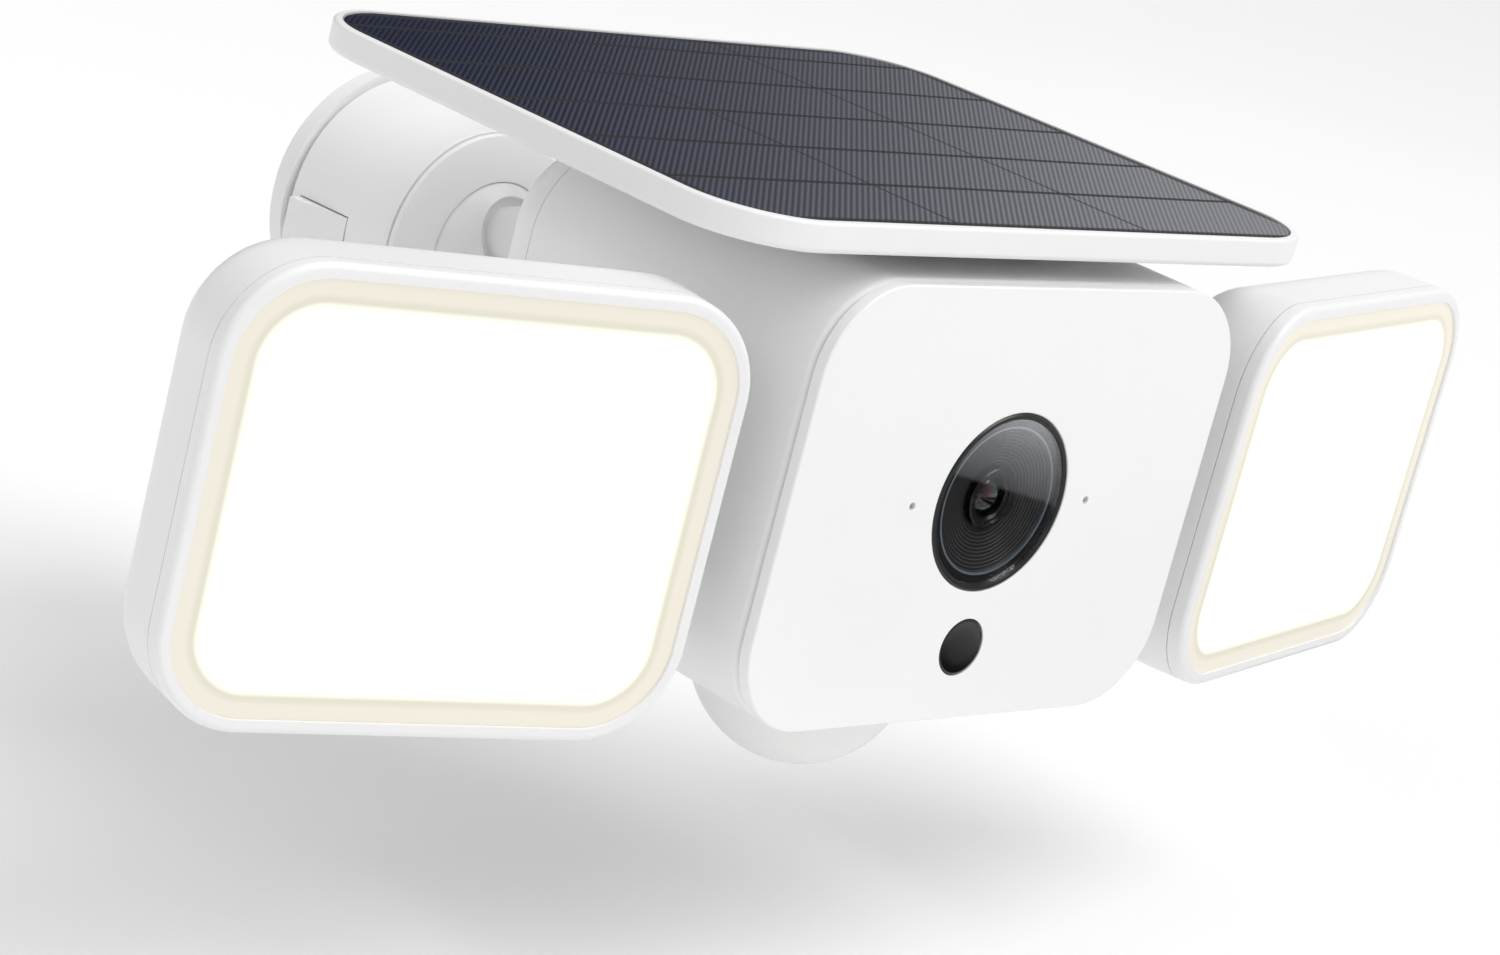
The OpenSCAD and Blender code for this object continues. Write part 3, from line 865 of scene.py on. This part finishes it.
def solarMaterial():
    centre = ((glassLow.x + glassHigh.x) / 2, (glassLow.y + glassHigh.y) / 2, glassHigh.z)
    wide, deep = glassHigh.x - glassLow.x, glassHigh.y - glassLow.y
    paint = Paint("solarFace", panel["faceColor"], 0.22, IOR=1.42)
    x, y, z = paint.split(paint.coords(place=centre))

    def lines(axis, pitch, offset, width):
        # 1 on a thin line every pitch
        cell = ((axis + offset) / pitch).step("FRACT") - 0.5
        return 1 - cell.step("ABSOLUTE").over(width / pitch / 2, width / pitch / 3)

    columns = lines(x, wide / panel["columns"], wide / panel["columns"], panel["thinLine"])
    rows = lines(y, panel["rowPitch"], panel["rowPitch"] / 2 - panel["rowStart"], panel["lineWide"])
    seams = rows.step("MAXIMUM", columns * 0.75)
    edge = (x.step("ABSOLUTE") - wide / 2).step("MAXIMUM", y.step("ABSOLUTE") - deep / 2) + panel["margin"]
    margin = edge.over(-0.2 * mm, 0.4 * mm)
    ribs = ((x - y) * (2 * math.pi / panel["ribPitch"])).step("SINE") * 0.5 + 0.5
    cells = (1 - seams) * (1 - margin * 0.7)
    color = paint.mix(ribs, panel["ribDark"], panel["ribPale"])
    paint.feed("Base Color", paint.mix(cells, panel["seamColor"], color))
    paint.feed("Roughness", 0.62 - cells * 0.36 - ribs * 0.06)
    paint.bump(ribs, 0.5, panel["ribHeight"])
    return paint.material


def makePanel():
    size = panelHigh - panelLow
    centre = (panelLow + panelHigh) / 2
    tray = roundedBlock("panelTray", size, centre, panel["corner"], axis="Z", front=panel["soft"],
                        back=panel["topSoft"], steps=20, rimSteps=5)
    sinkFace(tray, "Z", panelHigh.z, [(panel["lip"] - panel["topSoft"], 0), (0, -panel["lipDeep"])])
    smooth(tray, 35)
    settle(tray, "camera", shellWhite, ["panel_frame", "panel_back"])
    face = glassHigh - glassLow
    middle = (glassLow + glassHigh) / 2
    gap, thick = panel["paneGap"], panel["paneThick"]
    pane = roundedBlock("solarPane", (face.x - gap, face.y - gap, thick),
                        (middle.x, middle.y, glassHigh.z - thick / 2), panel["corner"] - panel["lip"],
                        axis="Z", back=panel["paneSoft"], steps=16, rimSteps=2)
    smooth(pane, 35)
    settle(pane, "camera", solarMaterial(), ["solar_laminate"])


makePanel()
print("solar panel is made")

lamp = {
    "wide": 102.6 * mm,
    "high": 83 * mm,
    "deep": 24 * mm,
    "corner": 18.4 * mm,
    "rim": 2.6 * mm,
    "rimSoft": 1.3 * mm,
    "backSoft": 12 * mm,
    "recess": 1.0 * mm,
    "paneThick": 1.2 * mm,
    "paneSoft": 0.5 * mm,
    "seamAt": 3.4 * mm,
    "seamWide": 0.22 * mm,
    "seamDeep": 0.3 * mm,
    "band": 3.6 * mm,
    "turn": 12.4,
    "pinX": 67.3 * mm,
    "pinY": 161 * mm,
    "pinIn": 48.6 * mm,
    "pinFore": 30.5 * mm,
    "height": -2.3 * mm,
    "earR": 6.6 * mm,
    "earHigh": 8 * mm,
    "earGap": 12.1 * mm,
    "earReach": (12 * mm, -6 * mm, 0),
    "earSoft": 0.8 * mm,
    "paneColor": (0.93, 0.91, 0.85),
    "middleColor": (0.24, 0.24, 0.23),
    "bandColor": (0.22, 0.21, 0.18),
    # painted glow of the diffusers, and its grades from the middle out to the edge
    "paintedGlow": 1.0,
    "paintedGlowStops": ((0.0, (0.81, 0.8, 0.74)), (0.25, (0.74, 0.72, 0.6)), (0.45, (0.54, 0.52, 0.42)),
                  (0.7, (0.57, 0.54, 0.44)), (1.0, (0.65, 0.61, 0.53))),
}


def lampMatrix(side):
    # from the lamp's own place, face on y = 0, to its place beside the body
    out = Matrix.Translation((lamp["pinX"], -lamp["pinY"], lamp["height"]))
    out = out @ Matrix.Rotation(math.radians(lamp["turn"]), 4, "Z")
    out = out @ Matrix.Translation((lamp["pinIn"], -lamp["pinFore"], 0))
    return Matrix.Diagonal((side, 1, 1, 1)) @ out


def diffuserMaterial(side):
    # painted glow: emission paints the diffuser bright in the middle, with a dimmer cream band that follows
    # the rounded edge
    paint = Paint("diffuser" + ("Left" if side < 0 else "Right"), lamp["paneColor"], 0.4,
                  Emission_Strength=lamp["paintedGlow"])
    where = paint.coords(place=lampMatrix(side).translation, turn=side * math.radians(lamp["turn"]))
    x, y, z = paint.split(where)
    corner = lamp["corner"] - lamp["rim"] - lamp["band"]
    halfX = lamp["wide"] / 2 - lamp["rim"] - lamp["band"] - corner
    halfZ = lamp["high"] / 2 - lamp["rim"] - lamp["band"] - corner
    dx = (x.step("ABSOLUTE") - halfX).step("MAXIMUM", 0.0)
    dz = (z.step("ABSOLUTE") - halfZ).step("MAXIMUM", 0.0)
    past = (dx * dx + dz * dz).step("SQRT") - corner
    band = past.over(-1.6 * mm, 2.6 * mm)
    paint.feed("Base Color", paint.mix(band, lamp["middleColor"], lamp["bandColor"]))
    paint.feed("Emission Color", paint.node("ShaderNodeValToRGB", {"stops": lamp["paintedGlowStops"]}, band))
    return paint.material


def cutGroove(piece, level, width, depth):
    # a fine groove around a piece, across the Y axis
    for y in (level, level + width):
        editMesh(piece, faces=lambda f: True)
        bpy.ops.mesh.bisect(plane_co=(0, y, 0), plane_no=(0, 1, 0))
        leaveEdit(piece)
    editMesh(piece, faces=lambda f: level < f.calc_center_median().y < level + width
             and abs(f.normal.y) < 0.9)
    bpy.ops.mesh.extrude_region_shrink_fatten(TRANSFORM_OT_shrink_fatten={"value": -depth})
    leaveEdit(piece)


def makeLampShell():
    size = (lamp["wide"], lamp["deep"], lamp["high"])
    shell = roundedBlock("lampShell", size, (0, lamp["deep"] / 2, 0), lamp["corner"],
                         front=lamp["rimSoft"], back=lamp["backSoft"], steps=20, rimSteps=10)
    sinkFace(shell, "Y", 0.0, [(lamp["rim"] - lamp["rimSoft"], 0), (0, lamp["recess"] + lamp["paneThick"])])
    cutGroove(shell, lamp["seamAt"], lamp["seamWide"], lamp["seamDeep"])
    return shell


def makeLampEars():
    # two lugs that hold the upright pin, joined to the back of the shell
    high, radius = lamp["earHigh"], lamp["earR"]
    ears = []
    for s in (-1, 1):
        middle = (-lamp["pinIn"], lamp["pinFore"], s * (lamp["earGap"] + high / 2))
        bpy.ops.mesh.primitive_cylinder_add(vertices=48, radius=radius, depth=high, location=middle)
        ear = startMesh("lampEar")
        applyPlace(ear)
        editMesh(ear, faces=lambda f: len(f.verts) == 4 and f.normal.x > 0.25 and f.normal.y < 0.9)
        bpy.ops.mesh.extrude_region_move(TRANSFORM_OT_translate={"value": lamp["earReach"]})
        leaveEdit(ear)
        editMesh(ear, edges=lambda e: len(e.link_faces) == 2 and e.calc_face_angle(0) > 1.2
                 and abs(e.verts[0].co.z - e.verts[1].co.z) < 1e-6)
        bpy.ops.mesh.bevel(offset=lamp["earSoft"], segments=3, affect="EDGES")
        leaveEdit(ear)
        ears.append(ear)
    pick(ears[0])
    ears[1].select_set(True)
    bpy.ops.object.join()
    return bpy.context.object


def makeLights():
    shell = makeLampShell()
    ear = makeLampEars()
    smooth(shell, 35)
    smooth(ear, 40)
    rim, thick = lamp["rim"], lamp["paneThick"]
    pane = roundedBlock("lampPane", (lamp["wide"] - 2 * rim, thick, lamp["high"] - 2 * rim),
                        (0, lamp["recess"] / 2 + thick / 2, 0), lamp["corner"] - rim,
                        front=lamp["paneSoft"], steps=20, rimSteps=4)
    smooth(pane, 35)
    for side, word in ((-1, "left"), (1, "right")):
        matrix = lampMatrix(side)
        body = word + "_light"
        made = copyPiece(shell, word + "LampShell")
        place(made, matrix)
        settle(made, body, shellWhite, [word + "_light_shell"])
        lugs = copyPiece(ear, word + "LampEars")
        place(lugs, matrix)
        settle(lugs, body, shellWhite)
        glass = copyPiece(pane, word + "LampPane")
        place(glass, matrix)
        settle(glass, body, diffuserMaterial(side), [word + "_diffuser"])
    for old in (shell, ear, pane):
        bpy.data.objects.remove(old)


makeLights()
print("lights are made")

mount = {
    "plateFront": 5.2 * mm,
    "ballY": 32.8 * mm,
    "ballR": 17 * mm,
    "rise": 20,
    "latchGap": 0.3 * mm,
    "latchDeep": 6 * mm,
    # profiles as (radius, distance from the wall), and for stem and boss from the ball's centre, in mm
    "collar": [(22.5, 28), (22.5, 36.5), (24.6, 36.5), (25.1, 36.8), (25.1, 37.2), (24.7, 37.7), (16.0, 40.6),
               (15.5, 40.6), (15.3, 40.3), (17.3, 34), (20.6, 33), (20.6, 28)],
    "foot": [(25, 0), (26.6, 0), (26.6, 1.0), (28.0, 1.0), (28.2, 1.3)],
    "cone": [(25.6, 35.4), (25.2, 36.1), (24.4, 36.2), (22.7, 36.2), (22.7, 26), (25, 24)],
    "neck": [(8.6, 14.4), (8.3, 13.6), (6.7, 13.4), (6.5, 14)],
    "shoulder": [(6.5, 67.4), (5, 67.5), (5, 88)],
    "boss": [(13.4, 75.5), (12.3, 74), (12, 72), (12, 67.4), (11.2, 66.6), (5.1, 66.6)],
}


def makeMount():
    wall = (0, 0, 0)
    collar = turnedShell("lockCollar", inMm(mount["collar"]), wall, steps=96)
    smooth(collar, 30)
    settle(collar, "lock_collar", shellWhite, ["lock_collar"])
    foot = [(radius, mount["plateFront"] + height) for radius, height in inMm(mount["foot"])]
    shell = turnedShell("mountShell", foot + inMm(mount["cone"]), wall, steps=96)
    # opening for the latch, with a gap around it
    latchLow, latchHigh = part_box("release_latch")
    gap = 2 * mount["latchGap"]
    cutBlock(shell, latchHigh - latchLow + Vector((mount["latchDeep"], gap, gap)), (latchHigh + latchLow) / 2)
    smooth(shell, 30)
    settle(shell, "wall_mount", shellWhite, ["mount_shell"])
    rise = math.radians(mount["rise"])
    out = Vector((0, -math.cos(rise), math.sin(rise)))
    ballCentre = (0, -mount["ballY"], 0)
    rings = arcRings(mount["ballR"], 0, -89.5, 59, 30) + inMm(mount["neck"] + mount["shoulder"])
    piece = turnPiece("ballStem", rings, ballCentre, direction=out, steps=72)
    smooth(piece, 35)
    settle(piece, "ball_stem", castMetal, ["ball_stem"])
    boss = turnPiece("rearBoss", inMm(mount["boss"]), ballCentre, direction=out, steps=64)
    smooth(boss, 35)
    settle(boss, "camera", shellWhite)


makeMount()
print("wall mount is made")

# finishes of the parts that are carried over as they are
slotFinish = {
    "white_shell": shellWhite,
    "faceplate": faceWhite,
    "dome_plastic": domeWhite,
    "grey_plastic": greyPlastic,
    "black_plastic": blackPlastic,
    "dark_window": blackPlastic,
    "seal_rubber": sealRubber,
    "flap_rubber": flapRubber,
    "steel": steelMetal,
    "cast_metal": castMetal,
    "sink_metal": sinkMetal,
    "circuit_board": greenBoard,
    "led_board": whiteBoard,
    "reflector_white": reflectorWhite,
    "copper_trace": copperTrace,
    "cell_sleeve": cellSleeve,
}

for part in frame["record"]["subparts"]:
    material = slotFinish.get(part["material_slot"])
    if material:
        mesh = nodes[part["node"]].data
        mesh.materials.clear()
        mesh.materials.append(material)

print("carried-over nodes have their finishes")
